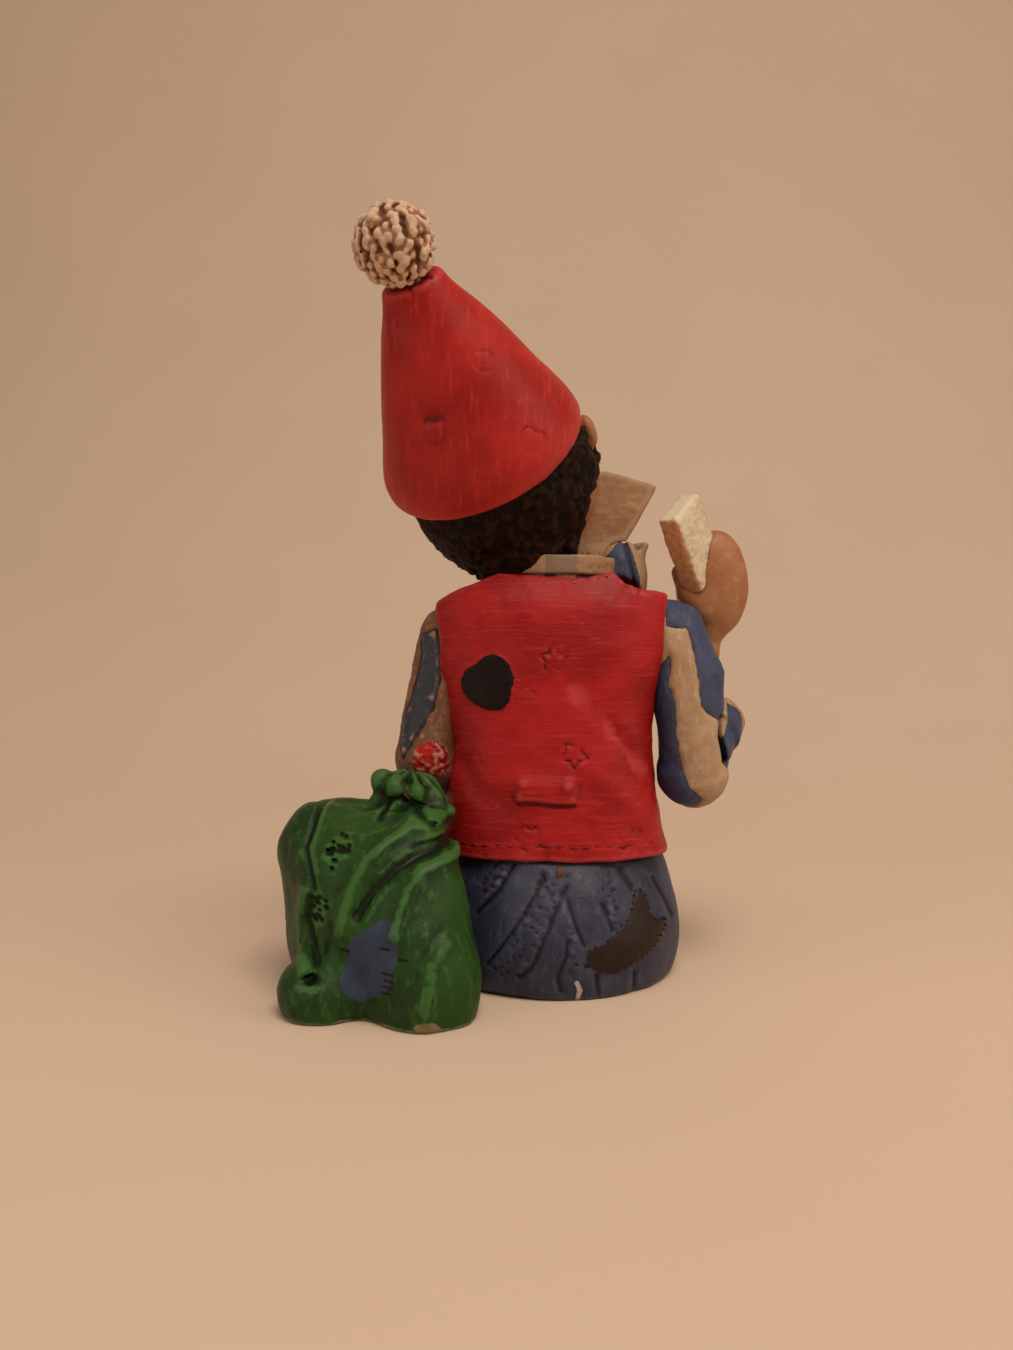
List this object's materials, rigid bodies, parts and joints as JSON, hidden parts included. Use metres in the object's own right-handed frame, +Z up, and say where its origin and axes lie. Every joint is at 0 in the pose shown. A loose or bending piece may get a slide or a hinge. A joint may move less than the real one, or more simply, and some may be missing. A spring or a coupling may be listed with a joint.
{
  "type": "garden gnome",
  "caption": "Small painted cast gnome sitting with bent knees in a tall pointed hat, holding up a slice of bread, with a tied sack leaning on its hip.",
  "frame": {"origin": "on the floor under the middle of the seat's flat underside", "axes": "+Z up, the gnome faces -Y, so its left side and the sack are on +X and its raised right hand is on -X"},
  "size_m": [0.0798, 0.0897, 0.1221],
  "materials": {
    "red_vest_paint": "matte",
    "red_hat_paint": "satin",
    "dark_brown_hair_paint": "matte",
    "skin_paint": "satin",
    "striped_shirt_paint": "matte",
    "cream_collar_paint": "matte",
    "slate_blue_trouser_paint": "satin",
    "dark_patch_paint": "matte",
    "red_darn_paint": "matte",
    "green_sack_paint": "gloss",
    "rope_paint": "matte",
    "blue_patch_paint": "matte",
    "bread_paint": "matte",
    "cream_fleece_paint": "matte",
    "eye_paint": "gloss",
    "boot_paint": "satin",
    "sole_paint": "matte"
  },
  "bodies": {
    "root": {"vest": "red_vest_paint", "vest_half_belt": "red_vest_paint", "vest_buttons": "red_vest_paint", "hat": "red_hat_paint", "hair": "dark_brown_hair_paint", "beard": "dark_brown_hair_paint", "eyebrows": "dark_brown_hair_paint", "head": "skin_paint", "nose": "skin_paint", "left_ear": "skin_paint", "right_ear": "skin_paint", "left_hand": "skin_paint", "right_hand": "skin_paint", "left_sleeve": "striped_shirt_paint", "right_sleeve": "striped_shirt_paint", "shirt_body": "striped_shirt_paint", "shirt_shoulder": "striped_shirt_paint", "left_cuff": "striped_shirt_paint", "right_cuff": "striped_shirt_paint", "shirt_collar": "cream_collar_paint", "trousers_seat": "slate_blue_trouser_paint", "left_trouser_leg": "slate_blue_trouser_paint", "right_trouser_leg": "slate_blue_trouser_paint", "vest_back_patch": "dark_patch_paint", "trousers_patch": "dark_patch_paint", "left_elbow_patch": "red_darn_paint", "sack": "green_sack_paint", "sack_neck": "green_sack_paint", "sack_tie": "rope_paint", "sack_patch": "blue_patch_paint", "bread_slice": "bread_paint", "pompom": "cream_fleece_paint", "left_eye": "eye_paint", "right_eye": "eye_paint", "left_boot": "boot_paint", "right_boot": "boot_paint", "left_boot_sole": "sole_paint", "right_boot_sole": "sole_paint"}
  },
  "joints": []
}
